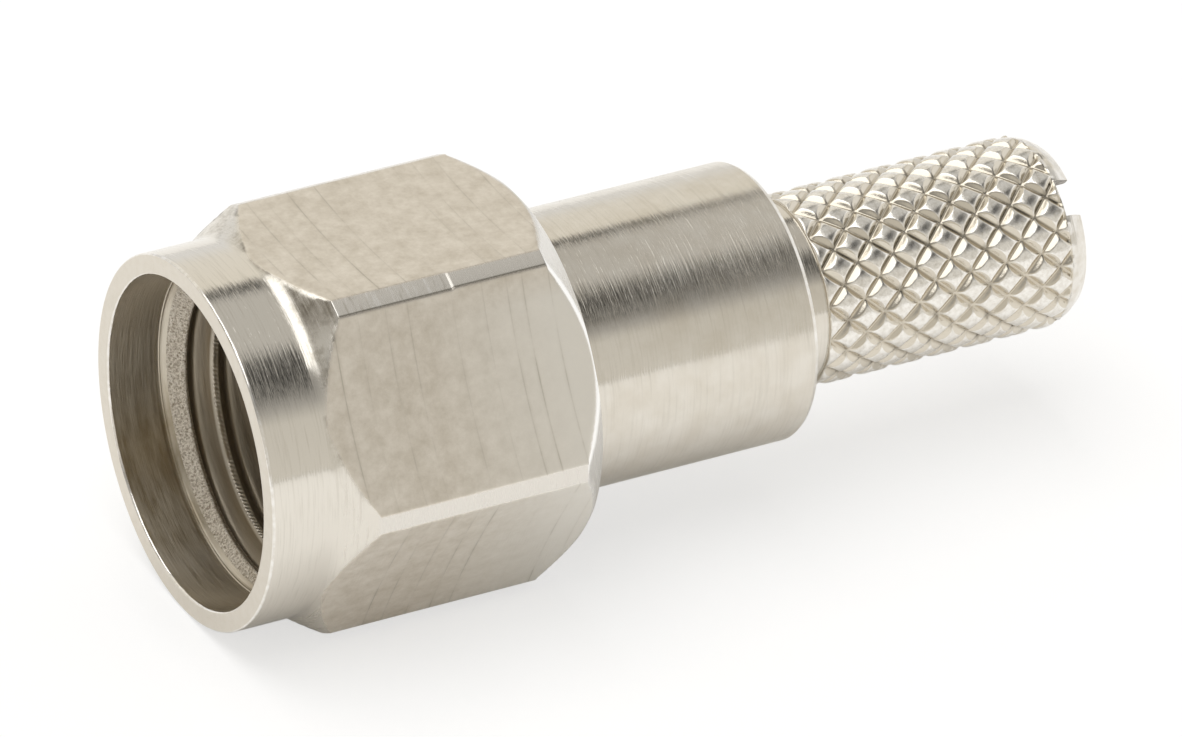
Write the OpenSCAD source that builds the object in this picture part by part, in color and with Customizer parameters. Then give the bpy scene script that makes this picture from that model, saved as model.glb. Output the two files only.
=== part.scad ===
// Mini-UHF crimp plug for coaxial cable, lying on one flat of its coupling nut.
// The plug's axis is X: the nut's mouth is at the origin, and the cable end points along +X.
// Z is up, and every length is in millimetres.

/* [Coupling nut] */
// Distance across the hexagon's flats, 7/16 inch
nut_flats = 11.11; // [10:0.01:12]
// Diameter of the turned lands on the hexagon's corners
corner_d = 12.5; // [11.5:0.05:12.8]
// Length of the nut
nut_length = 10.48; // [9:0.02:12]
// Diameter of the round collar at the mouth
collar_d = 11.04; // [10.4:0.02:11.1]
// Length of the round collar
collar_length = 2.1; // [1.8:0.05:2.4]
// Radius of the fillet between the collar and the front chamfer
collar_fillet = 0.8; // [0.1:0.05:0.8]
// Distance from the mouth to the full hexagon
hex_start = 3.06; // [2.6:0.02:3.6]
// Distance from the mouth to the start of the rear chamfer
hex_end = 9.66; // [9:0.02:10.4]
// Diameter of the rear face
rear_face_d = 11.1; // [10.6:0.05:11.6]
// Diameter of the plain counterbore in the mouth
mouth_d = 9.8; // [9.5:0.05:10.2]
// Depth of the counterbore
mouth_depth = 1.75; // [1:0.05:2.2]
// Minor diameter of the 3/8-24 coupling thread
thread_minor_d = 8.6; // [8.38:0.02:8.64]
// Distance from the mouth to the end of the thread
thread_end = 7.4; // [6.6:0.1:8]
// Diameter of the hole that turns on the body
nut_hole_d = 8.38; // [8.28:0.01:8.44]

/* [Connector body] */
// Outside diameter of the barrel
barrel_d = 8.25; // [7.8:0.05:8.26]
// Distance from the mouth to the seat that meets the jack
seat_x = 6.2; // [5.6:0.1:6.5]
// Distance from the mouth to the barrel's rear face
barrel_end = 18.27; // [16:0.01:20]
// Chamfer on the barrel's rear edge
barrel_chamfer = 0.14; // [0.05:0.01:0.4]
// Diameter of the plain neck behind the barrel
neck_d = 5.5; // [5.3:0.05:5.6]
// Distance from the mouth to the cable end
overall_length = 28; // [26:0.1:30]
// Diameter of the bore for the cable's dielectric
cable_bore_d = 4.4; // [3.9:0.05:4.6]
// Diameter of the cavity for the insulator
cavity_d = 6.4; // [5.6:0.05:6.6]
// Distance from the mouth to the cavity's rear shoulder
cavity_end = 16.6; // [14:0.1:17]
// Diameter of the plain lip behind the knurl
lip_d = 5.56; // [5.3:0.02:5.6]
// Diameter of the cable end's rim
end_d = 4.96; // [4.8:0.02:5.3]
// Width of the saw slot across the cable end
slot_width = 1.1; // [0.6:0.05:1.5]
// Depth of the saw slot
slot_depth = 0.6; // [0.3:0.05:0.62]
// Angle of the saw slot above the horizontal
slot_angle = 130.5; // [0:0.5:180]

/* [Knurl] */
// Diameter over the diamonds
knurl_d = 5.74; // [5.6:0.02:6]
// Depth of the grooves
knurl_depth = 0.17; // [0.1:0.01:0.2]
// Distance from the mouth to the first diamonds
knurl_start = 19.35; // [19:0.05:20]
// Distance from the mouth to the last diamonds
knurl_end = 27.35; // [27.2:0.01:27.38]
// Number of grooves of each hand
knurl_grooves = 16; // [12:1:24]
// Spacing of the diamonds along the axis
knurl_pitch = 1.165; // [0.9:0.005:1.4]
// Share of the groove spacing cut away on each side of a diamond
knurl_flank = 0.19; // [0.1:0.005:0.4]

/* [Contact and insulator] */
// Diameter of the pin that enters the jack
pin_d = 2.0; // [1.8:0.05:2.2]
// Distance from the mouth to the tip of the pin
pin_tip_x = 2.8; // [2.4:0.1:4]
// Diameter of the shank in the insulator's front
shank_d = 2.5; // [2.2:0.05:2.7]
// Distance from the mouth to the contact's shoulder
shoulder_x = 9.0; // [8:0.1:10]
// Diameter of the contact behind its shoulder
cup_d = 2.9; // [2.8:0.05:3.2]
// Distance from the mouth to the contact's rear end
contact_end = 15.6; // [14:0.1:16.4]
// Diameter of the hole for the cable's inner conductor
conductor_d = 1.7; // [1:0.05:1.9]
// Depth of the hole for the inner conductor
conductor_depth = 4; // [2:0.1:5]

/* [Retaining ring] */
// Outside diameter of the ring
ring_d = 9.24; // [9:0.02:9.3]
// Radial width of the ring
ring_width = 0.87; // [0.6:0.01:0.9]
// Thickness of the ring along the axis
ring_thickness = 0.5; // [0.4:0.05:0.6]
// Distance from the mouth to the ring
ring_x = 8.85; // [8.5:0.05:9.2]
// Gap between the ring's ends
ring_gap = 1.2; // [0.6:0.1:2]

/* [Hidden] */

$fn = 96;
edge = 0.12;
past = 1;

groove_play = 0.05;
ring_play = 0.1;
insulator_play = 0.02;
contact_play = 0.02;
insulator_recess = 0.1;
knurl_cover = 0.1;

body_groove_d = ring_d - 2 * ring_width - 2 * ring_play;
nut_groove_d = ring_d + 2 * ring_play;
insulator_front = seat_x + insulator_recess;
insulator_d = cavity_d - 2 * insulator_play;
lead_in = (mouth_d - thread_minor_d) / 2;
cone_angle = atan((corner_d - collar_d) / 2 / (hex_start - collar_length));
fillet_reach = collar_fillet * tan(cone_angle / 2);
arc_steps = 6;

knurl_step = 360 / knurl_grooves;
knurl_turn = 14.5;
knurl_x = 17.67;
knurl_rows = 18;
knurl_crest_r = knurl_d / 2;
knurl_root_r = knurl_crest_r - knurl_depth;
knurl_core_r = knurl_root_r - knurl_cover;

// A solid or a cut turned about the plug's axis, from points of radius and distance from the mouth
module turned(points) {
    rotate([0, 90, 0])
        rotate_extrude()
            polygon(points);
}

// A round bar on the plug's axis, from one distance to another
module bar(d, from, to) {
    translate([from, 0, 0])
        rotate([0, 90, 0])
            cylinder(d = d, h = to - from);
}

// Points of the fillet that runs from the collar into the front chamfer
function collar_arc() = [
    for (step = [0 : arc_steps])
        let (turn = cone_angle * step / arc_steps)
        [
            collar_d / 2 + collar_fillet * (1 - cos(turn)),
            collar_length - fillet_reach + collar_fillet * sin(turn)
        ]
];

// Points of the lip's rounded nose, a quarter of an ellipse from the knurl's end to the rim of the cable end
function lip_arc() = [
    for (step = [0 : arc_steps])
        let (turn = 90 * step / arc_steps)
        [
            end_d / 2 + (lip_d - end_d) / 2 * cos(turn),
            knurl_end + (overall_length - knurl_end) * sin(turn)
        ]
];

// Hexagon bar stock turned down to a collar at the mouth, and chamfered at both ends of the flats.
// The mouth is counterbored, and tapers at 45 degrees to the thread's minor diameter.
module coupling_nut() {
    color([0.74, 0.71, 0.65])
        difference() {
            intersection() {
                turned([
                    [0, 0],
                    [collar_d / 2 - edge / 2, 0],
                    [collar_d / 2, edge / 2],
                    each collar_arc(),
                    [corner_d / 2, hex_start],
                    [corner_d / 2, hex_end],
                    [rear_face_d / 2, nut_length],
                    [0, nut_length]
                ]);
                translate([-past, 0, 0])
                    rotate([0, 90, 0])
                        rotate([0, 0, 30])
                            cylinder(d = nut_flats / cos(30), h = nut_length + 2 * past, $fn = 6);
            }
            turned([
                [0, -past],
                [mouth_d / 2, -past],
                [mouth_d / 2, mouth_depth],
                [thread_minor_d / 2, mouth_depth + lead_in],
                [thread_minor_d / 2, thread_end],
                [nut_hole_d / 2, thread_end],
                [nut_hole_d / 2, ring_x - groove_play],
                [nut_groove_d / 2, ring_x - groove_play],
                [nut_groove_d / 2, ring_x + ring_thickness + groove_play],
                [nut_hole_d / 2, ring_x + ring_thickness + groove_play],
                [nut_hole_d / 2, nut_length - edge],
                [nut_hole_d / 2 + edge, nut_length],
                [nut_hole_d / 2 + edge, nut_length + past],
                [0, nut_length + past]
            ]);
        }
}

// A point of the knurl at radius r, counted in groove spacings of each hand
function knurl_point(right, left, r) =
    let (turn = knurl_turn + knurl_step * (right + left) / 2)
    [knurl_x + knurl_pitch * (right - left) / 2, r * cos(turn), r * sin(turn)];

// Where the grooves cross: rows along the axis, each turned half a spacing from the last
function crossing(row, column) =
    let (odd = row % 2, right = column + (row + odd) / 2)
    knurl_point(right, right - row, knurl_root_r);

// The corners of one diamond's top: low, high, front and rear
function diamond_top(row, column) =
    let (
        odd = row % 2,
        right = column + (row + odd) / 2,
        left = right - row,
        near = knurl_flank,
        far = 1 - knurl_flank
    )
    [
        knurl_point(right + near, left + near, knurl_crest_r),
        knurl_point(right + far, left + far, knurl_crest_r),
        knurl_point(right + near, left + far, knurl_crest_r),
        knurl_point(right + far, left + near, knurl_crest_r)
    ];

// Place of a crossing in the list of points
function crossing_index(row, column) = row * knurl_grooves + column % knurl_grooves;

// Place of a diamond's first corner in the list of points
function top_index(row, column) = (knurl_rows + 1) * knurl_grooves + 4 * ((row - 1) * knurl_grooves + column);

// One diamond: two triangles on its top, and two on each of its four flanks
function diamond_faces(row, column) =
    let (
        odd = row % 2,
        low = crossing_index(row, column),
        high = crossing_index(row, column + 1),
        front = crossing_index(row - 1, column + odd),
        rear = crossing_index(row + 1, column + odd),
        top = top_index(row, column),
        top_low = top,
        top_high = top + 1,
        top_front = top + 2,
        top_rear = top + 3
    )
    [
        [top_low, top_rear, top_front],
        [top_high, top_front, top_rear],
        [low, top_low, front],
        [top_low, top_front, front],
        [front, top_front, high],
        [top_front, top_high, high],
        [high, top_high, rear],
        [top_high, top_rear, rear],
        [rear, top_rear, low],
        [top_rear, top_low, low]
    ];

// Diamonds between two families of crossing grooves, right round the stem
module knurl() {
    crossings = [
        for (row = [0 : knurl_rows], column = [0 : knurl_grooves - 1])
            crossing(row, column)
    ];
    tops = [
        for (row = [1 : knurl_rows - 1], column = [0 : knurl_grooves - 1])
            each diamond_top(row, column)
    ];
    front_center = [knurl_x, 0, 0];
    rear_center = [knurl_x + knurl_pitch * knurl_rows / 2, 0, 0];
    front_index = len(crossings) + len(tops);
    rear_index = front_index + 1;
    last = knurl_rows - 1;
    last_odd = last % 2;
    diamonds = [
        for (row = [1 : last], column = [0 : knurl_grooves - 1])
            each diamond_faces(row, column)
    ];
    front_cap = [
        for (column = [0 : knurl_grooves - 1])
            each [
                [front_index, crossing_index(1, column), crossing_index(0, column + 1)],
                [front_index, crossing_index(0, column + 1), crossing_index(1, column + 1)]
            ]
    ];
    rear_cap = [
        for (column = [0 : knurl_grooves - 1])
            each [
                [rear_index, crossing_index(knurl_rows, column + last_odd), crossing_index(last, column)],
                [rear_index, crossing_index(last, column + 1), crossing_index(knurl_rows, column + last_odd)]
            ]
    ];
    intersection() {
        polyhedron(
            points = concat(crossings, tops, [front_center, rear_center]),
            faces = concat(diamonds, front_cap, rear_cap)
        );
        bar(d = knurl_d + past, from = knurl_start, to = knurl_end);
    }
}

// One turned piece: the seat for the jack, the barrel that the nut turns on, and the knurled crimp stem.
// The knurl is raised on the stem, and a saw slot crosses the cable end.
module connector_body() {
    color([0.75, 0.73, 0.68])
        difference() {
            union() {
                turned([
                    [0, seat_x],
                    [barrel_d / 2 - edge, seat_x],
                    [barrel_d / 2, seat_x + edge],
                    [barrel_d / 2, ring_x],
                    [body_groove_d / 2, ring_x],
                    [body_groove_d / 2, ring_x + ring_thickness + groove_play],
                    [barrel_d / 2, ring_x + ring_thickness + groove_play],
                    [barrel_d / 2, barrel_end - barrel_chamfer],
                    [barrel_d / 2 - barrel_chamfer, barrel_end],
                    [neck_d / 2, barrel_end],
                    [neck_d / 2, knurl_start],
                    [knurl_core_r, knurl_start],
                    [knurl_core_r, knurl_end],
                    each lip_arc(),
                    [0, overall_length]
                ]);
                knurl();
            }
            turned([
                [0, seat_x - past],
                [cavity_d / 2, seat_x - past],
                [cavity_d / 2, cavity_end],
                [cable_bore_d / 2, cavity_end],
                [cable_bore_d / 2, overall_length - edge],
                [cable_bore_d / 2 + edge, overall_length],
                [cable_bore_d / 2 + edge, overall_length + past],
                [0, overall_length + past]
            ]);
            rotate([slot_angle, 0, 0])
                translate([overall_length - slot_depth, -knurl_d, -slot_width / 2])
                    cube([slot_depth + past, 2 * knurl_d, slot_width]);
        }
}

// Spring ring in facing grooves of the body and the nut, split so that it closes when the nut is pushed on
module retaining_ring() {
    color([0.62, 0.60, 0.56])
        difference() {
            bar(d = ring_d, from = ring_x, to = ring_x + ring_thickness);
            bar(d = ring_d - 2 * ring_width, from = ring_x - past, to = ring_x + ring_thickness + past);
            translate([ring_x - past, -ring_gap / 2, 0])
                cube([ring_thickness + 2 * past, ring_gap, ring_d]);
        }
}

// White bead that fills the body's cavity and holds the contact on the axis
module insulator() {
    color([0.93, 0.92, 0.89])
        difference() {
            bar(d = insulator_d, from = insulator_front, to = cavity_end);
            bar(d = shank_d + 2 * contact_play, from = insulator_front - past, to = shoulder_x + past);
            bar(d = cup_d + 2 * contact_play, from = shoulder_x, to = cavity_end + past);
        }
}

// Turned pin with a rounded tip, a shoulder against the insulator, and a hole for the inner conductor
module center_contact() {
    color([0.83, 0.68, 0.38])
        difference() {
            union() {
                translate([pin_tip_x + pin_d / 2, 0, 0])
                    sphere(d = pin_d);
                bar(d = pin_d, from = pin_tip_x + pin_d / 2, to = insulator_front + past);
                bar(d = shank_d, from = insulator_front, to = shoulder_x + past);
                bar(d = cup_d, from = shoulder_x, to = contact_end);
            }
            bar(d = conductor_d, from = contact_end - conductor_depth, to = contact_end + past);
        }
}

coupling_nut();
connector_body();
retaining_ring();
insulator();
center_contact();
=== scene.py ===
import math

import bmesh
import bpy
import numpy as np
from mathutils import Matrix, Vector


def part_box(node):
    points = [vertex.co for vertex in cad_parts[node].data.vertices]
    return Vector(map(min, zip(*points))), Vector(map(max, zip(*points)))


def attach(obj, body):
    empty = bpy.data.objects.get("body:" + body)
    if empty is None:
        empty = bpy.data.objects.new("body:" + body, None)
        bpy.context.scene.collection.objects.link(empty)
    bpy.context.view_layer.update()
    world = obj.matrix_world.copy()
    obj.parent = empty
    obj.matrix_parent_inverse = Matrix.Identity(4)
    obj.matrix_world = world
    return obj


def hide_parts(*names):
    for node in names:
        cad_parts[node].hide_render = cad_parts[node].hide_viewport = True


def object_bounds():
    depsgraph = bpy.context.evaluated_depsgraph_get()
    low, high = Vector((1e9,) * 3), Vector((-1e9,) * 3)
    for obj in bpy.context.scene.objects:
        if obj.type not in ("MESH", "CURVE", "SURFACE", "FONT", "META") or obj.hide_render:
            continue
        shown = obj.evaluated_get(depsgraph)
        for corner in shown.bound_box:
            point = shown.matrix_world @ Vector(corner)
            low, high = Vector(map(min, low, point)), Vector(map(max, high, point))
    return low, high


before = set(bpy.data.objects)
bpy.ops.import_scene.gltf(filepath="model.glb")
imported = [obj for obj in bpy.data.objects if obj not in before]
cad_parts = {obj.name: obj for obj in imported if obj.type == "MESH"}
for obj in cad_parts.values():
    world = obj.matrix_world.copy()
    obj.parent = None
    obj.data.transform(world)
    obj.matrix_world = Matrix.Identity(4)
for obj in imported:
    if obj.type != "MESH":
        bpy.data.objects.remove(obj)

cad_box = [list(corner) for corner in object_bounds()]

# Connector body
# One piece of brass bar, turned, bored and nickel plated: the seat for the jack, the barrel that the nut
# turns on, a plain neck and the crimp stem. The stem's knurl is rolled in, and its end is sawn across.
mm = 0.001

body_low, body_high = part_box("connector_body")
seat_x = body_low.x / mm
stem_end = body_high.x / mm
barrel_r = body_high.z / mm
seat_round = 0.12
barrel_end = 18.27
barrel_chamfer = 0.14
barrel_drop = 0.085
cavity_r = 3.2
cavity_end = 16.6
cavity_rim = 0.1
bore_r = 2.2
ring_x = 8.85
ring_groove_width = 0.55
body_groove_r = 3.65
neck_r = 2.75
neck_fillet = 0.05
soft_edge = 0.03

knurl_start = 19.35
knurl_end = 27.35
knurl_lead = 0.01
knurl_lead_rise = 0.08
knurl_crest_r = 2.87
knurl_root_r = 2.70
knurl_rise = 0.80
knurl_root_round = 0.02
knurl_pitch = 1.165
knurl_grooves = 16
knurl_x = 17.67
knurl_turn = math.radians(14.5)
knurl_steps = 20
knurl_per_radian = knurl_grooves / (2 * math.pi)
knurl_crown = 0.06
knurl_corner = 0.07
knurl_clear = 0.2

lip_gap = 0.02
lip_r = 2.78
lip_straight = 0.3
lip_taper = 0.06
lip_round = 0.5
end_r = 2.48
end_round = 0.1
end_bore_round = 0.08
slot_width = 1.1
slot_depth = 0.6
slot_reach = 8 * bore_r
slot_angle = math.radians(130.5)

nickel_pale = (0.77, 0.735, 0.67, 1)
nickel_bright = (0.73, 0.695, 0.635, 1)
nickel_tan = (0.64, 0.59, 0.505, 1)
nickel_dark = (0.42, 0.385, 0.32, 1)
nickel_worn = (0.93, 0.915, 0.89, 1)
knurl_pale = (0.93, 0.91, 0.87, 1)
knurl_tan = (0.69, 0.64, 0.55, 1)
knurl_root_tone = (0.56, 0.50, 0.40, 1)
knurl_painted_shade = (0.30, 0.27, 0.22, 1)
sawn_dark = (0.16, 0.14, 0.12, 1)
worn_fade = 0.02
dull_fade = 0.1
barrel_worn = [
    (barrel_end - 0.9 * barrel_chamfer, barrel_end - 0.01, 0.8),
    (knurl_end + 0.05, stem_end, 0.6),
]
barrel_dulled = [(11.5, 16.5, barrel_end, 0.1)]


def rounded_line(corners, arc_steps=5, guard=0.02):
    """The line through corners of (along, radius, rounding), with each corner as an arc.

    A guard point stands just outside each end of an arc, so that the straight beside it shades flat.
    """
    line = [corners[0][:2]]
    for before, corner, after in zip(corners, corners[1:], corners[2:]):
        here = Vector(corner[:2])
        back = (Vector(before[:2]) - here).normalized()
        ahead = (Vector(after[:2]) - here).normalized()
        half = back.angle(ahead) / 2
        reach = corner[2] / math.tan(half)
        center = here + (back + ahead).normalized() * corner[2] / math.sin(half)
        first = here + back * reach - center
        last = here + ahead * reach - center
        line.append(tuple(here + back * (reach + guard)))
        for step in range(arc_steps + 1):
            share = step / arc_steps
            line.append(tuple(center + first.lerp(last, share).normalized() * corner[2]))
        line.append(tuple(here + ahead * (reach + guard)))
    line.append(corners[-1][:2])
    return line


def turned_piece(name, along, radius, angles, finish, lean=None):
    """A closed ring of metal about the plug's axis, swept from rows of (along, radius) in millimetres.

    finish holds the material's place for each row of faces. lean says which way a face is split:
    1 along a right-hand groove, -1 along a left-hand one, and 0 leaves it whole.
    """
    rows, columns = radius.shape
    x = np.repeat(along[:, None], columns, axis=1)
    points = np.stack([x, radius * np.cos(angles), radius * np.sin(angles)], axis=-1)
    row = np.repeat(np.arange(rows)[:, None], columns, axis=1)
    column = np.repeat(np.arange(columns)[None, :], rows, axis=0)
    next_row = (row + 1) % rows
    next_column = (column + 1) % columns
    a = row * columns + column
    b = row * columns + next_column
    c = next_row * columns + next_column
    d = next_row * columns + column
    if lean is None:
        lean = np.zeros((rows, columns), int)
    whole = lean == 0
    right = lean == 1
    left = lean == -1
    quads = np.stack([a, b, c, d], axis=-1)[whole].tolist()
    corners = [(a, b, d, right), (b, c, d, right), (a, b, c, left), (a, c, d, left)]
    triangles = [np.stack(corner[:3], axis=-1)[corner[3]].tolist() for corner in corners]
    row_finish = np.repeat(np.asarray(finish)[:, None], columns, axis=1)
    face_finish = [row_finish[whole]] + [row_finish[corner[3]] for corner in corners]

    mesh = bpy.data.meshes.new(name)
    mesh.from_pydata((points.reshape(-1, 3) * mm).tolist(), [], quads + sum(triangles, []))
    mesh.polygons.foreach_set("material_index", np.concatenate(face_finish).astype(np.int32))
    mesh.polygons.foreach_set("use_smooth", np.ones(len(mesh.polygons), bool))
    mesh.update()
    piece = bpy.data.objects.new(name, mesh)
    bpy.context.scene.collection.objects.link(piece)
    return piece


def start_finish(name):
    """A new material, with its node tree and its shader."""
    material = bpy.data.materials.new(name)
    material.use_nodes = True
    return material, material.node_tree, material.node_tree.nodes["Principled BSDF"]


def add(tree, kind, sockets, **settings):
    """A node with its settings, and each socket either set to a value or fed by another node."""
    node = tree.nodes.new(kind)
    for key, value in settings.items():
        setattr(node, key, value)
    for socket, value in sockets.items():
        if isinstance(value, bpy.types.NodeSocket):
            tree.links.new(value, node.inputs[socket])
        else:
            node.inputs[socket].default_value = value
    return node


def place(tree, stretch=(1, 1, 1)):
    """Where a point is on its piece, in millimetres times a stretch along each axis."""
    where = add(tree, "ShaderNodeTexCoord", {}).outputs["Object"]
    scale = tuple(value / mm for value in stretch)
    return add(tree, "ShaderNodeVectorMath", {0: where, 1: scale}, operation="MULTIPLY").outputs[0]


def axes(tree):
    """How far a point is along the plug, across it and up, in millimetres."""
    return add(tree, "ShaderNodeSeparateXYZ", {0: place(tree)}).outputs


def cloud(tree, where, detail=3, rough=0.55):
    """Smooth noise at a place, from 0 to 1."""
    sockets = {"Vector": where, "Scale": 1, "Detail": detail, "Roughness": rough}
    return add(tree, "ShaderNodeTexNoise", sockets).outputs["Fac"]


def spread(tree, value, low, high, new_low=0, new_high=1):
    """A value's range moved to a new range, and held inside it."""
    sockets = {"Value": value, "From Min": low, "From Max": high, "To Min": new_low, "To Max": new_high}
    return add(tree, "ShaderNodeMapRange", sockets).outputs["Result"]


def maths(tree, operation, *values):
    """One step of arithmetic."""
    return add(tree, "ShaderNodeMath", dict(enumerate(values)), operation=operation).outputs[0]


def product(tree, first, *others):
    """Several values multiplied, such as shares that all have to hold."""
    for other in others:
        first = maths(tree, "MULTIPLY", first, other)
    return first


def tint(tree, share, first, second):
    """A colour between two others."""
    node = tree.nodes.new("ShaderNodeMix")
    node.data_type = "RGBA"
    for key, value in (("Factor_Float", share), ("A_Color", first), ("B_Color", second)):
        socket = next(one for one in node.inputs if one.identifier == key)
        if isinstance(value, bpy.types.NodeSocket):
            tree.links.new(value, socket)
        else:
            socket.default_value = value
    return next(one for one in node.outputs if one.identifier == "Result_Color")


def surface(tree, shader, color, rough, height, relief, metallic=1):
    """Feeds a colour, a roughness and a relief, so many millimetres high, to a shader."""
    bump = add(tree, "ShaderNodeBump", {"Strength": 1, "Distance": relief * mm, "Height": height})
    tree.links.new(color, shader.inputs["Base Color"])
    tree.links.new(rough, shader.inputs["Roughness"])
    tree.links.new(bump.outputs[0], shader.inputs["Normal"])
    shader.inputs["Metallic"].default_value = metallic


def tool_rings(tree, breaks):
    """Fine rings left by the turning tool, broken more or less often around the piece."""
    return cloud(tree, place(tree, (15, breaks, breaks)), 3, 0.6)


def turned_nickel(name, base, streak_height, breaks, smooth, rough, worn=(), dulled=()):
    """Nickel over a turned surface: fine rings from the tool, faint tan stains, and edges worn bright.

    worn lists the stretches along the plug that handling has polished, each with its start, its end
    and how far it has gone. dulled lists those that it has dulled, each with where that starts, is full
    and ends, and the roughness that it adds.
    """
    material, tree, shader = start_finish(name)
    rings = tool_rings(tree, breaks)
    stain = cloud(tree, place(tree), 5, 0.6)
    color = tint(tree, spread(tree, stain, 0.35, 0.7, 0, 0.6), base, nickel_tan)
    color = tint(tree, spread(tree, rings, 0.5, 0.9, 0, 0.3), color, nickel_dark)
    along = axes(tree)[0]
    patches = spread(tree, cloud(tree, place(tree, (3, 3, 3))), 0.35, 0.6, 0.2, 1)
    for first, last, share in worn:
        begins = spread(tree, along, first - worn_fade, first, 0, share)
        ends = spread(tree, along, last, last + worn_fade, 1, 0)
        color = tint(tree, product(tree, begins, ends, patches), color, nickel_worn)
    roughness = spread(tree, rings, 0.3, 0.75, smooth, rough)
    for first, full, last, more in dulled:
        begins = spread(tree, along, first, full, 0, more)
        ends = spread(tree, along, last - dull_fade, last, 1, 0)
        roughness = maths(tree, "ADD", roughness, product(tree, begins, ends))
    surface(tree, shader, color, roughness, rings, streak_height)
    tangent = add(tree, "ShaderNodeTangent", {}, direction_type="RADIAL", axis="X")
    tree.links.new(tangent.outputs[0], shader.inputs["Tangent"])
    shader.inputs["Anisotropic"].default_value = 0.6
    shader.inputs["Anisotropic Rotation"].default_value = 0.25
    return material


def knurl_nickel():
    """Nickel over the rolled knurl: bright on the diamonds, tan in the grooves between them, and painted
    shade in dark patches where the grooves cross.
    """
    material, tree, shader = start_finish("knurl_nickel")
    where = axes(tree)
    around = maths(tree, "ARCTAN2", where[2], where[1])
    around = maths(tree, "MULTIPLY", maths(tree, "SUBTRACT", around, knurl_turn), knurl_per_radian)
    lengthwise = maths(tree, "DIVIDE", maths(tree, "SUBTRACT", where[0], knurl_x), knurl_pitch)
    hands = [maths(tree, side, around, lengthwise) for side in ("ADD", "SUBTRACT")]
    away = [maths(tree, "PINGPONG", hand, 0.5) for hand in hands]
    drops = [maths(tree, "POWER", maths(tree, "MULTIPLY_ADD", one, -2.0, 1.0), 2.0) for one in away]
    dome = maths(tree, "MULTIPLY", maths(tree, "ADD", *drops), -knurl_crown)
    dome = maths(tree, "MULTIPLY_ADD", maths(tree, "MULTIPLY", *drops), -knurl_corner, dome)
    nearest = maths(tree, "MINIMUM", *away)
    wall = maths(tree, "POWER", maths(tree, "MULTIPLY", nearest, knurl_rise), 2.0)
    wall = maths(tree, "SQRT", maths(tree, "ADD", wall, knurl_root_round ** 2))
    groove = maths(tree, "ADD", wall, knurl_root_r - knurl_root_round - knurl_crest_r)
    in_groove = spread(tree, maths(tree, "SUBTRACT", dome, groove), -0.004, 0.008)
    near_root = spread(tree, nearest, 0.0, 0.08, 0.8, 0)
    fleck = cloud(tree, place(tree, (7, 7, 7)), 5, 0.65)
    color = tint(tree, spread(tree, fleck, 0.4, 0.7), knurl_pale, nickel_bright)
    color = tint(tree, in_groove, color, knurl_tan)
    # Darker along the groove bottoms.
    color = tint(tree, near_root, color, knurl_root_tone)
    # Painted shade: dark patches near the groove crossings, in place of the shaded floor that the flanks
    # mirror.
    shade_near_crossings = spread(tree, maths(tree, "MAXIMUM", *away), 0.06, 0.24, 0.8, 0)
    shade_patches = spread(tree, cloud(tree, place(tree, (1.6, 1.6, 1.6))), 0.46, 0.6)
    color = tint(tree, product(tree, shade_near_crossings, shade_patches), color, knurl_painted_shade)
    rough = spread(tree, maths(tree, "MULTIPLY_ADD", in_groove, -0.6, fleck), -0.2, 0.8, 0.08, 0.24)
    surface(tree, shader, color, rough, fleck, relief=0.005)
    return material


def sawn_nickel():
    """Nickel over the rough cut of the saw."""
    material, tree, shader = start_finish("sawn_nickel")
    fleck = cloud(tree, place(tree, (14, 14, 14)), 4, 0.7)
    color = tint(tree, spread(tree, fleck, 0.42, 0.7), sawn_dark, nickel_bright)
    surface(tree, shader, color, spread(tree, fleck, 0.35, 0.7, 0.5, 0.25), fleck, relief=0.03)
    return material


def knurl_radius(along, angles):
    """The stem's radius over the knurl, and the hand of the groove nearest to each point."""
    lengthwise = (along[:, None] - knurl_x) / knurl_pitch
    around = (angles[None, :] - knurl_turn) * knurl_per_radian
    right = np.abs((around + lengthwise + 0.5) % 1 - 0.5)
    left = np.abs((around - lengthwise + 0.5) % 1 - 0.5)
    right_drop = (1 - 2 * right) ** 2
    left_drop = (1 - 2 * left) ** 2
    dome = knurl_crest_r - knurl_crown * (right_drop + left_drop) - knurl_corner * right_drop * left_drop
    wall = np.hypot(knurl_rise * np.minimum(right, left), knurl_root_round)
    groove = knurl_root_r - knurl_root_round + wall
    return np.minimum(dome, groove), np.where(right <= left, 1, -1)


def all_round(line, angles):
    """A line's radii, repeated at each angle around the axis."""
    return np.repeat(line[:, 1:], len(angles), axis=1)


body_columns = knurl_grooves * knurl_steps
body_angles = knurl_turn + np.arange(body_columns) * 2 * math.pi / body_columns
front_line = np.array(rounded_line([
    (seat_x, (cavity_r + barrel_r) / 2, 0),
    (seat_x, barrel_r, seat_round),
    (ring_x, barrel_r, soft_edge),
    (ring_x, body_groove_r, soft_edge),
    (ring_x + ring_groove_width, body_groove_r, soft_edge),
    (ring_x + ring_groove_width, barrel_r, soft_edge),
    (barrel_end - barrel_chamfer, barrel_r, soft_edge),
    (barrel_end, barrel_r - barrel_drop, soft_edge),
    (barrel_end, neck_r, neck_fillet),
    (knurl_start - knurl_lead, neck_r, knurl_lead / 2),
    (knurl_start, neck_r + knurl_lead_rise, 0),
]))
rear_line = np.array(rounded_line([
    (knurl_end + lip_gap, lip_r, 0),
    (knurl_end + lip_straight, lip_r - lip_taper, lip_round),
    (stem_end, end_r, end_round),
    (stem_end, bore_r, end_bore_round),
    (cavity_end, bore_r, soft_edge),
    (cavity_end, cavity_r, soft_edge),
    (seat_x, cavity_r, soft_edge),
    (seat_x, cavity_r + cavity_rim, 0),
]))
knurl_step = knurl_pitch / knurl_steps
first_step = math.ceil((knurl_start - knurl_x) / knurl_step + knurl_clear)
last_step = math.floor((knurl_end - knurl_x) / knurl_step)
knurl_along = knurl_x + knurl_step * np.arange(first_step, last_step + 1)
half_column = math.pi / body_columns
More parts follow.
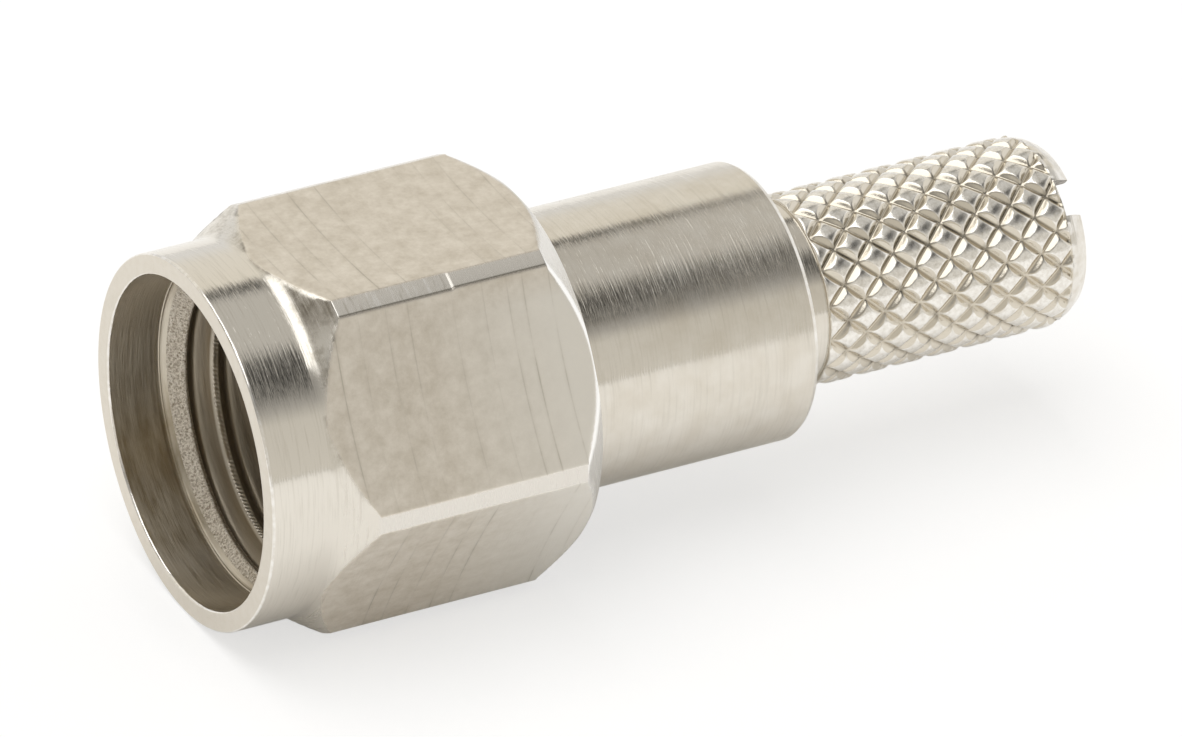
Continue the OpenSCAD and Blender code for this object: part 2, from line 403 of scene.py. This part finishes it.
knurl_r, _ = knurl_radius(knurl_along, body_angles)
_, knurl_hand = knurl_radius(knurl_along + knurl_step / 2, body_angles + half_column)

body_along = np.concatenate([front_line[:, 0], knurl_along, rear_line[:, 0]])
body_r = np.concatenate([all_round(front_line, body_angles), knurl_r, all_round(rear_line, body_angles)])
body_lean = np.zeros(body_r.shape, int)
knurl_rows = slice(len(front_line), len(front_line) + len(knurl_along) - 1)
body_lean[knurl_rows] = knurl_hand[:-1]
body_finish = np.zeros(len(body_along), int)
body_finish[len(front_line) - 1:len(front_line) + len(knurl_along)] = 1
body = turned_piece("plug_body", body_along, body_r, body_angles, body_finish, body_lean)
barrel_nickel = turned_nickel("barrel_nickel", nickel_pale, streak_height=0.011, breaks=0.6, smooth=0.07,
                              rough=0.17, worn=barrel_worn, dulled=barrel_dulled)
for finish in (barrel_nickel, knurl_nickel()):
    body.data.materials.append(finish)


def saw_slot(piece, finish):
    """Cuts the slot across the cable end, and leaves its walls flat and rough."""
    cutter_mesh = bpy.data.meshes.new("saw_cut")
    shape = bmesh.new()
    bmesh.ops.create_cube(shape, size=1)
    size = Vector((2 * slot_depth, slot_reach, slot_width)) * mm
    turn = Matrix.Rotation(slot_angle, 4, "X") @ Matrix.Translation((stem_end * mm, 0, 0))
    bmesh.ops.transform(shape, matrix=turn @ Matrix.Diagonal((*size, 1)), verts=shape.verts)
    shape.to_mesh(cutter_mesh)
    shape.free()
    cutter_mesh.materials.append(finish)
    cutter = bpy.data.objects.new("saw_cut", cutter_mesh)
    bpy.context.scene.collection.objects.link(cutter)
    cut = piece.modifiers.new("saw_cut", "BOOLEAN")
    cut.operation = "DIFFERENCE"
    cut.solver = "EXACT"
    cut.material_mode = "TRANSFER"
    cut.object = cutter
    bpy.context.view_layer.update()
    graph = bpy.context.evaluated_depsgraph_get()
    mesh = bpy.data.meshes.new_from_object(piece.evaluated_get(graph))
    piece.modifiers.remove(cut)
    piece.data = mesh
    bpy.data.objects.remove(cutter)
    sawn = list(mesh.materials).index(finish)
    shape = bmesh.new()
    shape.from_mesh(mesh)
    for face in shape.faces:
        if face.material_index == sawn:
            face.smooth = False
            for edge in face.edges:
                edge.smooth = False
    shape.to_mesh(mesh)
    shape.free()


saw_slot(body, sawn_nickel())
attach(body, "plug_body")
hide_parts("connector_body")

# Insulator
# A white fluoropolymer bead, turned from rod and pressed into the body's cavity from the front.
# It holds the contact on the plug's axis and keeps it apart from the body.
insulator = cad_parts["insulator"]
polymer_white = (0.93, 0.92, 0.89, 1)
polymer_shade = (0.88, 0.87, 0.83, 1)


def turned_polymer():
    """White polymer with a faint grain."""
    material, tree, shader = start_finish("white_polymer")
    grain = cloud(tree, place(tree, (12, 12, 12)), 3)
    color = tint(tree, grain, polymer_white, polymer_shade)
    rough = spread(tree, grain, 0.3, 0.7, 0.4, 0.55)
    surface(tree, shader, color, rough, grain, relief=0.003, metallic=0)
    return material


def dress(piece, finish):
    """Gives a whole piece one finish."""
    piece.data.materials.clear()
    piece.data.materials.append(finish)


dress(insulator, turned_polymer())

# Center contact
# A brass pin with a rounded tip, turned and gold plated. It stands in the insulator with its shoulder
# against it, and the hole behind takes the cable's inner conductor, which is soldered in.
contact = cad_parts["center_contact"]
gold_pale = (0.74, 0.60, 0.36, 1)
gold_deep = (0.66, 0.52, 0.30, 1)


def gold_plate():
    """Gold over fine tool rings."""
    material, tree, shader = start_finish("gold_plate")
    rings = cloud(tree, place(tree, (20, 1, 1)), 3)
    color = tint(tree, rings, gold_pale, gold_deep)
    surface(tree, shader, color, spread(tree, rings, 0.3, 0.7, 0.16, 0.3), rings, relief=0.002)
    return material


dress(contact, gold_plate())

# Retaining ring
# A split ring of plated spring bronze, rolled from flat strip. It is squeezed into the body's groove and
# opens into the nut's, so that the nut can turn and can't come off.
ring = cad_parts["retaining_ring"]
bronze_pale = (0.62, 0.58, 0.52, 1)
bronze_dark = (0.52, 0.46, 0.38, 1)


def spring_bronze():
    """Plated bronze strip with fine grain."""
    material, tree, shader = start_finish("spring_bronze")
    grain = cloud(tree, place(tree, (8, 8, 8)), 3)
    tree.links.new(tint(tree, grain, bronze_pale, bronze_dark), shader.inputs["Base Color"])
    tree.links.new(spread(tree, grain, 0.3, 0.7, 0.25, 0.45), shader.inputs["Roughness"])
    shader.inputs["Metallic"].default_value = 1
    return material


dress(ring, spring_bronze())

# Coupling nut
# Hexagonal brass bar, turned down to a collar at the mouth, chamfered behind, bored and tapped, and then
# nickel plated. It turns freely on the barrel, held by the retaining ring.
_, nut_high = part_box("coupling_nut")
nut_length = nut_high.x / mm
flat_r = nut_high.z / mm
flats = 6
corner_r = 6.25
collar_r = 5.52
collar_end = 2.1
collar_fillet = 0.8
hex_start = 3.06
hex_front_round = 0.05
hex_end = 9.66
land_round = 0.12
rear_r = 5.55
rear_round = 0.04
rear_softness = 0.1
rear_seam_r = 5
rear_seam_gap = 0.1
flat_softness = 0.025
rim_round = 0.08

mouth_r = 4.9
mouth_depth = 1.7
relief_start = 0.04
relief_floor = (0.06, 0.12)
relief_end = 0.2
relief_depth = 0.03
relief_round = 0.01
lead_ring = 0.17
lead_in_end = 2.38
thread_minor_r = 4.3
thread_major_r = 4.74
thread_pitch = 25.4 / 24
thread_half = 0.43
thread_root_round = 0.12
thread_end = 7.4
thread_fade = 0.6
thread_shoulder = 0.06
thread_inset = 0.1
thread_rows = 24
nut_hole_r = 4.19
nut_hole_round = 0.1
nut_groove_r = 4.72
nut_groove_play = 0.05

step_x = 6.63
step_run = 0.1
step_rise = 0.016
step_margin = 0.04
step_corner = math.radians(120)
step_half = math.radians(6)

flat_pale = (0.825, 0.775, 0.70, 1)
flat_stain = (0.66, 0.605, 0.52, 1)
flat_rear = (0.86, 0.835, 0.78, 1)
land_grey = (0.77, 0.74, 0.69, 1)
painted_shade_dark = (0.20, 0.18, 0.145, 1)
chamfer_grey = (0.83, 0.815, 0.785, 1)
painted_highlight_white = (0.985, 0.98, 0.965, 1)
bore_brown = (0.65, 0.60, 0.51, 1)
bore_painted_shade = (0.36, 0.305, 0.22, 1)
thread_painted_shade = (0.17, 0.135, 0.09, 1)
torn_dark = (0.38, 0.32, 0.24, 1)
torn_pale = (0.94, 0.89, 0.81, 1)

cutter_bow = 70
flat_shift = 17.3
marks_per_mm = 1.3
paler_from = 5.5
paler_below = (4.5, 5.2)
top_land = (3, 4)
low_shade_from = (0.5, -2.2)
low_shade_until = (-4.8, -4.5)
chatter_per_radian = 31
chatter_slant = 5

flat_span = 360 / flats
flat_turn = math.radians(flat_span)
land_start = 24
land_half = math.degrees(math.acos(flat_r / corner_r))
land_edge = 0.8
half_sector = np.concatenate([
    np.linspace(0, land_start, 11, endpoint=False),
    np.linspace(land_start, land_half - land_edge, 3, endpoint=False),
    np.linspace(land_half - land_edge, land_half + land_edge, 7, endpoint=False),
    np.linspace(land_half + land_edge, flat_span / 2, 3),
])
sector = np.concatenate([-half_sector[:0:-1], half_sector[:-1]])
flat_middles = flat_span / 2 + flat_span * np.arange(flats)
nut_angles = np.radians(np.concatenate([middle + sector for middle in flat_middles]))


def softer_min(first, second, softness):
    """The lesser of two lengths, with a small round where they meet."""
    near = np.maximum(softness - np.abs(first - second), 0) / softness
    return np.minimum(first, second) - near ** 2 * softness / 4


def filled(line, start, end, step, nearest=0.001):
    """A line with points added between the places start and end, no more than a step apart along it.

    No point is added nearer to one of the line's own points than a small share of the stretch.
    """
    full = [line[0]]
    for first, second in zip(line, line[1:]):
        low = max(first[0], start)
        high = min(second[0], end)
        if high > low:
            for here in np.linspace(low, high, math.ceil((high - low) / step) + 1):
                share = (here - first[0]) / (second[0] - first[0])
                if nearest < share < 1 - nearest:
                    full.append(tuple(Vector(first).lerp(Vector(second), share)))
        full.append(second)
    return full


def hexagon_cut(along, radius, angles):
    """Rows of a turned outline with the six flats milled into them, and a small step up on one corner."""
    away = (angles % flat_turn) - flat_turn / 2
    proud = np.clip((along - step_x) / step_run, 0, 1) * step_rise * (along < hex_end)
    corner = np.abs(angles - step_corner) < step_half
    turned = radius[:, None] + proud[:, None] * corner[None, :]
    softness = np.where(along > hex_end, rear_softness, flat_softness)[:, None]
    return softer_min(turned, flat_r / np.cos(away)[None, :], softness)


def thread_radius(along, angles):
    """The tapped hole: a right-hand groove of 60 degrees that starts in the lead-in and runs out inside."""
    phase = (along[:, None] / thread_pitch - angles[None, :] / (2 * math.pi)) % 1
    away = np.abs(phase - 0.5)
    wall = np.hypot(away, thread_root_round) - thread_root_round
    full = math.hypot(thread_half, thread_root_round) - thread_root_round
    share = np.clip(1 - wall / full, 0, 1)
    run_out = np.clip((thread_end - thread_fade / 2 - along) / thread_fade, 0, 1)[:, None]
    tapped = thread_minor_r + (thread_major_r - thread_minor_r) * share * run_out
    taper = (mouth_r - thread_minor_r) / (lead_in_end - mouth_depth)
    lead_in = mouth_r - taper * (along[:, None] - mouth_depth)
    return np.maximum(tapped, lead_in)


# Each stretch of the outline that needs more rows has its start, its end and its longest step.
cone_rows = (1.6, 3.2, 0.04)
land_rows = (hex_start + 0.02, hex_end, 0.7)
step_rows = (step_x - step_margin, step_x + step_run + step_margin, 0.02)
rear_rows = (hex_end - 0.08, nut_length, 0.04)
outer_line = rounded_line([
    (0, (mouth_r + collar_r) / 2, 0),
    (0, collar_r, rim_round),
    (collar_end, collar_r, collar_fillet),
    (hex_start, corner_r, hex_front_round),
    (hex_end, corner_r, land_round),
    (nut_length, rear_r, rear_round),
    (nut_length, rear_seam_r, 0),
], arc_steps=6)
for start, end, step in (cone_rows, land_rows, step_rows, rear_rows):
    outer_line = filled(outer_line, start, end, step)
outer_line = np.array(outer_line)
hole_line = np.array(rounded_line([
    (nut_length, rear_seam_r - rear_seam_gap, 0),
    (nut_length, nut_hole_r, nut_hole_round),
    (ring_x + ring_groove_width, nut_hole_r, soft_edge),
    (ring_x + ring_groove_width, nut_groove_r, soft_edge),
    (ring_x - nut_groove_play, nut_groove_r, soft_edge),
    (ring_x - nut_groove_play, nut_hole_r, soft_edge),
    (thread_end, nut_hole_r, soft_edge),
    (thread_end, thread_minor_r, soft_edge),
    (thread_end - thread_shoulder, thread_minor_r, 0),
]))
thread_step = thread_pitch / thread_rows
thread_along = np.arange(thread_end - thread_inset, mouth_depth + thread_step / 2, -thread_step)
mouth_line = np.array(rounded_line([
    (mouth_depth, mouth_r, 0),
    (mouth_depth - relief_start, mouth_r, 2 * relief_round),
    (mouth_depth - relief_floor[0], mouth_r + relief_depth, relief_round),
    (mouth_depth - relief_floor[1], mouth_r + relief_depth, relief_round),
    (mouth_depth - relief_end, mouth_r, 3 * relief_round),
    (0, mouth_r, rim_round),
    (0, (2 * mouth_r + collar_r) / 3, 0),
], guard=0.004))
nut_along = np.concatenate([outer_line[:, 0], hole_line[:, 0], thread_along, mouth_line[:, 0]])
nut_r = np.concatenate([
    hexagon_cut(outer_line[:, 0], outer_line[:, 1], nut_angles),
    all_round(hole_line, nut_angles),
    thread_radius(thread_along, nut_angles),
    all_round(mouth_line, nut_angles),
])
outside, bored, torn, tapped = range(4)
in_lead = [thread_along < mouth_depth + lead_ring, thread_along < lead_in_end]
nut_finish = np.concatenate([
    np.full(len(outer_line), outside),
    np.full(len(hole_line), bored),
    np.select(in_lead, [bored, torn], tapped),
    np.where(mouth_line[:, 0] < rim_round, outside, bored),
])


def between(tree, share, first, second):
    """A number between two others."""
    return add(tree, "ShaderNodeMix", {0: share, 2: first, 3: second}).outputs[0]


def off_axis(tree, where):
    """The square of a point's distance from the plug's axis."""
    return maths(tree, "ADD", maths(tree, "POWER", where[1], 2.0), maths(tree, "POWER", where[2], 2.0))


def milled_flat(tree, where, stain):
    """Colour, roughness and grain of the flats: arcs from the cutter, stains, and paler towards the rear
    end below the top.
    """
    turn = maths(tree, "ARCTAN2", where[2], where[1])
    flat = maths(tree, "FLOOR", maths(tree, "MULTIPLY", turn, flats / (2 * math.pi)))
    arc = maths(tree, "MULTIPLY_ADD", off_axis(tree, where), -1 / cutter_bow, where[0])
    arc = maths(tree, "MULTIPLY_ADD", flat, flat_shift, arc)
    marks = add(tree, "ShaderNodeTexVoronoi", {"W": arc, "Scale": marks_per_mm, "Randomness": 1},
                voronoi_dimensions="1D", feature="DISTANCE_TO_EDGE").outputs["Distance"]
    strength = add(tree, "ShaderNodeTexNoise", {"W": arc, "Scale": 1.7, "Detail": 2},
                   noise_dimensions="1D").outputs["Fac"]
    patchy = spread(tree, cloud(tree, place(tree, (0.7, 0.7, 0.7)), 4, 0.6), 0.38, 0.62, 0.1, 1)
    patchy = product(tree, patchy, spread(tree, strength, 0.4, 0.62, 0.05, 0.8))
    smear = spread(tree, marks, 0.02, 0.14, 0.25, 0)
    hairline = maths(tree, "MAXIMUM", spread(tree, marks, 0.008, 0.045, 0.85, 0), smear)
    color = tint(tree, spread(tree, stain, 0.33, 0.68), flat_pale, flat_stain)
    paler_rear = product(tree, spread(tree, where[0], paler_from, hex_end, 0, 0.9),
                     spread(tree, where[2], *paler_below, 1, 0))
    color = tint(tree, paler_rear, color, flat_rear)
    color = tint(tree, product(tree, hairline, patchy), color, nickel_dark)
    grain = cloud(tree, place(tree, (14, 2, 2)), 4)
    return color, spread(tree, stain, 0.3, 0.7, 0.28, 0.42), maths(tree, "MULTIPLY", grain, 0.6)


def turned_outside(tree, where, reach, front_reach, stain):
    """Colour, roughness and grain of the collar, front cone, corner lands, rim and rear chamfer.

    reach is the distance towards the nearest flat, and front_reach towards the flat on the front.
    """
    rings = tool_rings(tree, 0.7)
    color = tint(tree, spread(tree, rings, 0.5, 0.9, 0, 0.4), nickel_pale, nickel_dark)
    on_cone = spread(tree, where[0], collar_end - 0.2, collar_end + 0.1)
    upper = product(tree, on_cone, spread(tree, where[2], 0.5, 2.5))
    # Painted shade: the upper part of the front cone darkened in blotches, shaped by the stain noise, in
    # place of a dark reflection.
    cone_painted_shade = product(tree, upper, spread(tree, stain, 0.48, 0.62, 0, 0.6))
    color = tint(tree, cone_painted_shade, color, nickel_dark)
    # Painted shade: a dark line, in patches, where the upper cone meets the flats.
    upper_crease_shade = product(tree, upper, spread(tree, reach, flat_r - 0.12, flat_r - 0.03))
    crease_patches = spread(tree, cloud(tree, place(tree, (1.2, 1.2, 1.2))), 0.48, 0.6)
    color = tint(tree, product(tree, upper_crease_shade, crease_patches), color, painted_shade_dark)

    on_land = spread(tree, where[0], hex_start - 0.1, hex_start)
    color = tint(tree, on_land, color, land_grey)
    flecks = cloud(tree, place(tree, (6, 1, 1)), 4, 0.65)
    on_top = product(tree, on_land, spread(tree, where[2], *top_land))
    scored = product(tree, on_top, spread(tree, where[0], step_x, step_x + step_run, 1, 0.2))
    pale_marks = product(tree, scored, spread(tree, flecks, 0.55, 0.68, 0, 0.7))
    color = tint(tree, pale_marks, color, nickel_worn)
    dark_marks = product(tree, scored, spread(tree, flecks, 0.45, 0.34, 0, 0.4))
    color = tint(tree, dark_marks, color, nickel_dark)
    # Painted shade: a thin dark line along the top land's border with the front flat.
    land_border_shade = product(tree, on_top, spread(tree, front_reach, flat_r - 0.042, flat_r - 0.026, 0, 0.8))
    color = tint(tree, land_border_shade, color, painted_shade_dark)

    nicks = spread(tree, cloud(tree, place(tree, (4, 4, 4))), 0.38, 0.6, 0.2, 1)
    on_edge = product(tree, spread(tree, where[0], rim_round, rim_round + 0.02, 0.8, 0), nicks)
    color = tint(tree, on_edge, color, nickel_worn)
    on_rim = spread(tree, where[0], 0.004, 0.02, 0.8, 0)
    color = tint(tree, on_rim, color, nickel_tan)
    behind = spread(tree, where[0], hex_end - 0.05, hex_end + 0.02)
    color = tint(tree, behind, color, chamfer_grey)
    # Painted highlight: a near-white streak on the rear chamfer beside the front flat.
    edge = product(tree, behind, spread(tree, front_reach, flat_r - 0.17, flat_r - 0.08))
    color = tint(tree, edge, color, painted_highlight_white)

    collar_rough = spread(tree, rings, 0.3, 0.75, 0.06, 0.14)
    cone_rough = spread(tree, rings, 0.3, 0.75, 0.18, 0.34)
    rough = between(tree, edge, between(tree, on_cone, collar_rough, cone_rough), 0.08)
    height = product(tree, rings, between(tree, on_cone, 0.7, 0.15))
    return color, rough, height


def nut_nickel():
    """Nickel over the nut's outside, turned and milled, told apart by how far out a point is."""
    material, tree, shader = start_finish("nut_nickel")
    where = axes(tree)
    upright = maths(tree, "MULTIPLY", where[2], math.sin(flat_turn / 2))
    across = maths(tree, "MULTIPLY", where[1], math.cos(flat_turn / 2))
    reach = maths(tree, "ABSOLUTE", where[2])
    for side in ("ADD", "SUBTRACT"):
        reach = maths(tree, "MAXIMUM", reach, maths(tree, "ABSOLUTE", maths(tree, side, upright, across)))
    front_reach = maths(tree, "SUBTRACT", upright, across)
    on_flat = spread(tree, reach, flat_r - 0.02, flat_r - 0.006)
    stain = cloud(tree, place(tree, (1.9, 1.9, 1.9)), 6, 0.7)
    turned_color, turned_rough, turned_height = turned_outside(tree, where, reach, front_reach, stain)
    flat_color, flat_rough, flat_height = milled_flat(tree, where, stain)
    color = tint(tree, on_flat, turned_color, flat_color)
    rough = between(tree, on_flat, turned_rough, flat_rough)
    height = between(tree, on_flat, turned_height, flat_height)
    surface(tree, shader, color, rough, height, relief=0.012)
    return material


def bored_nickel():
    """Nickel in the nut's plain bores, with painted shade in brown streaks low on the walls."""
    material = turned_nickel("bore_nickel", bore_brown, streak_height=0.01, breaks=0.9,
                             smooth=0.3, rough=0.45)
    tree = material.node_tree
    socket = tree.nodes["Principled BSDF"].inputs["Base Color"]
    height = axes(tree)[2]
    # Painted shade: brown streaks low on the bore walls, fading out near the bottom.
    low = product(tree, spread(tree, height, *low_shade_from), spread(tree, height, *low_shade_until))
    shade_streaks = spread(tree, cloud(tree, place(tree, (3, 0.7, 0.7)), 5, 0.65), 0.35, 0.6, 0.35, 0.95)
    painted_low_shade = product(tree, low, shade_streaks)
    tree.links.new(tint(tree, painted_low_shade, socket.links[0].from_socket, bore_painted_shade), socket)
    return material


def torn_nickel():
    """Nickel over the tapered start of the thread, torn by the tap."""
    material, tree, shader = start_finish("torn_nickel")
    fleck = cloud(tree, place(tree, (14, 14, 14)), 4, 0.7)
    color = tint(tree, spread(tree, fleck, 0.36, 0.58), torn_dark, torn_pale)
    surface(tree, shader, color, spread(tree, fleck, 0.35, 0.7, 0.45, 0.25), fleck, relief=0.05)
    return material


def tapped_nickel():
    """Nickel in the thread: flanks darkened to deep brown with painted shade, paler roots, and short
    chatter marks along each crest.
    """
    material, tree, shader = start_finish("tapped_nickel")
    where = axes(tree)
    depth = maths(tree, "SUBTRACT", maths(tree, "SQRT", off_axis(tree, where)), thread_minor_r)
    turn = maths(tree, "ARCTAN2", where[2], where[1])
    chatter = maths(tree, "MULTIPLY", turn, chatter_per_radian)
    chatter = maths(tree, "MULTIPLY_ADD", where[0], chatter_slant, chatter)
    worn_off = spread(tree, cloud(tree, place(tree, (1.5, 1.5, 1.5))), 0.35, 0.55)
    mark = spread(tree, maths(tree, "PINGPONG", chatter, 0.5), 0.1, 0.4, 0.1, 0.9)
    mark = product(tree, mark, worn_off)
    crest = product(tree, spread(tree, depth, 0.01, 0.03, 1, 0), mark)
    lip = spread(tree, depth, 0.05, 0.1, 0.6, 0)
    root = spread(tree, depth, 0.2, 0.4, 0, 0.3)
    grain = cloud(tree, place(tree, (6, 0.6, 0.6)), 4, 0.6)
    # Painted shade: the thread's flanks darkened to a deep brown.
    color = tint(tree, spread(tree, grain, 0.35, 0.7, 0, 0.15), thread_painted_shade, bore_brown)
    color = tint(tree, root, color, bore_brown)
    color = tint(tree, lip, color, bore_brown)
    color = tint(tree, crest, color, torn_pale)
    height = maths(tree, "ADD", crest, grain)
    surface(tree, shader, color, spread(tree, grain, 0.3, 0.7, 0.32, 0.5), height, relief=0.02)
    return material


nut = turned_piece("coupling_nut_metal", nut_along, nut_r, nut_angles, nut_finish)
for finish in (nut_nickel(), bored_nickel(), torn_nickel(), tapped_nickel()):
    nut.data.materials.append(finish)
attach(nut, "nut")
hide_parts("coupling_nut")

# Floor and studio
# A plain white table, painted matte, with pale walls around it and dark gaps above the camera and behind.
# A soft box hangs over it on the left. A fill in the same place lights the table, and no metal mirrors it.
floor_half = 1.5
floor_z = cad_box[0][2]
floor_white = (0.87, 0.87, 0.87, 1)
floor_seen = (0.37, 0.37, 0.37, 1)
floor_lift = 0.05
backdrop_lift = 0.62
floor_corners = [(-1, -1), (1, -1), (1, 1), (-1, 1)]
floor_points = [(x * floor_half, y * floor_half, floor_z) for x, y in floor_corners]
floor_mesh = bpy.data.meshes.new("floor")
floor_mesh.from_pydata(floor_points, [], [(0, 1, 2, 3)])
floor = bpy.data.objects.new("floor", floor_mesh)
bpy.context.scene.collection.objects.link(floor)


def table_white():
    """Matte white paint, seen directly as a white backdrop with a faint shadow."""
    material, tree, shader = start_finish("table_white")
    ray = add(tree, "ShaderNodeLightPath", {}).outputs
    mirrored = maths(tree, "MAXIMUM", ray["Is Glossy Ray"], ray["Is Transmission Ray"])
    lift = maths(tree, "MULTIPLY", mirrored, floor_lift)
    lift = maths(tree, "MULTIPLY_ADD", ray["Is Camera Ray"], backdrop_lift, lift)
    tree.links.new(lift, shader.inputs["Emission Strength"])
    tree.links.new(tint(tree, ray["Is Camera Ray"], floor_white, floor_seen), shader.inputs["Base Color"])
    shader.inputs["Emission Color"].default_value = (1, 1, 1, 1)
    shader.inputs["Roughness"].default_value = 0.9
    shader.inputs["Specular IOR Level"].default_value = 0.1
    return material


dress(floor, table_white())

# Each band has its angle around the plug's axis, its level and its warmth.
studio_bands = [
    (-180, 0.66, 0.02), (-90, 0.9, 0.0), (-5, 0.82, 0.0), (8, 0.84, 0.01),
    (20, 0.84, 0.04), (51, 0.83, 0.05), (57, 0.57, 0.03), (104, 0.57, 0.03),
    (131, 0.34, 0.03), (139, 0.44, 0.03), (148, 0.66, 0.04), (180, 0.70, 0.04),
]
# Each gap has the angles where it starts, is full, begins to fade and ends, and its depth.
dark_gaps = [(49.5, 52.5, 57.5, 61, 0.85), (103, 109, 127, 135, 0.9)]
gap_black = (0.02, 0.02, 0.02, 1)
gap_slant = 70
gap_middle = 0.41
gap_left = (0.26, 0.36)
gap_right = (0.48, 0.9)
shade_brown = (0.16, 0.14, 0.11, 1)
shade_left = (-0.52, -0.6)
shade_high = (0.5, 0.6)
shade_back = (-0.1, 0.08)
right_wall = (0.78, 0.88)
right_white = (1.0, 0.99, 0.97, 1)


def studio_walls():
    """Pale walls and a ceiling, as bands around the plug's axis."""
    world = bpy.data.worlds.new("studio")
    world.use_nodes = True
    tree = world.node_tree
    background = tree.nodes["Background"]
    where = add(tree, "ShaderNodeTexCoord", {}).outputs["Generated"]
    toward = add(tree, "ShaderNodeSeparateXYZ", {0: where}).outputs
    around = maths(tree, "ARCTAN2", toward[2], toward[1])
    ramp = add(tree, "ShaderNodeValToRGB", {0: spread(tree, around, -math.pi, math.pi)})
    stops = ramp.color_ramp.elements
    while len(stops) > 1:
        stops.remove(stops[-1])
    for number, (angle, level, warmth) in enumerate(studio_bands):
        position = (angle + 180) / 360
        stop = stops[0] if number == 0 else stops.new(position)
        stop.position = position
        stop.color = (level * (1 + warmth), level, level * (1 - 2 * warmth), 1)
    color = ramp.outputs[0]
    turn = spread(tree, around, -math.pi, math.pi, -180, 180)
    aside = maths(tree, "SUBTRACT", toward[0], gap_middle)
    turn = maths(tree, "MULTIPLY_ADD", aside, gap_slant, turn)
    across = product(tree, spread(tree, toward[0], *gap_left), spread(tree, toward[0], *gap_right, 1, 0))
    for start, full, fading, end, depth in dark_gaps:
        band = product(tree, spread(tree, turn, start, full), spread(tree, turn, fading, end, 1, 0))
        color = tint(tree, product(tree, band, across, depth), color, gap_black)
    shade = product(tree, spread(tree, toward[0], *shade_left), spread(tree, toward[2], *shade_high),
                    spread(tree, toward[1], *shade_back))
    color = tint(tree, shade, color, shade_brown)
    color = tint(tree, spread(tree, toward[0], *right_wall), color, right_white)
    tree.links.new(color, background.inputs["Color"])
    background.inputs["Strength"].default_value = 1
    return world


bpy.context.scene.world = studio_walls()

box_height = 0.6
box_from = Vector((-0.37, -0.36))
box_to = Vector((0.09, 0.39))
box_size = box_to - box_from
box_middle = (box_from + box_to) / 2
box_level = 1.2
fill_level = 1.8


def hang_box(name, level, mirrored):
    """A soft box above the table, which shows in the metal or only lights the table."""
    data = bpy.data.lights.new(name, "AREA")
    data.shape = "RECTANGLE"
    data.size = box_size.x
    data.size_y = box_size.y
    data.energy = math.pi * box_size.x * box_size.y * level
    box = bpy.data.objects.new(name, data)
    box.location = (box_middle.x, box_middle.y, box_height)
    box.visible_glossy = mirrored
    bpy.context.scene.collection.objects.link(box)


hang_box("soft_box", box_level, True)
hang_box("table_fill", fill_level, False)

# Camera
# A long lens from above and to the left of the mouth, at the photograph's viewing angle. It stands about
# 0.4 m away and is rolled a little, as the photograph was.
eye = Vector((-165.36, -319.53, 226.37)) * mm
aim = Vector((12.867, -0.396, -0.664)) * mm
roll = math.radians(2.18)
sensor_mm = 36
lens_mm = 457.2
camera_data = bpy.data.cameras.new("camera")
camera_data.sensor_width = sensor_mm
camera_data.lens = lens_mm
camera = bpy.data.objects.new("camera", camera_data)
looking = (aim - eye).to_track_quat("-Z", "Y").to_matrix().to_4x4()
camera.matrix_world = Matrix.Translation(eye) @ looking @ Matrix.Rotation(roll, 4, "Z")
bpy.context.scene.collection.objects.link(camera)
bpy.context.scene.camera = camera

bpy.context.scene.view_settings.view_transform = "Standard"
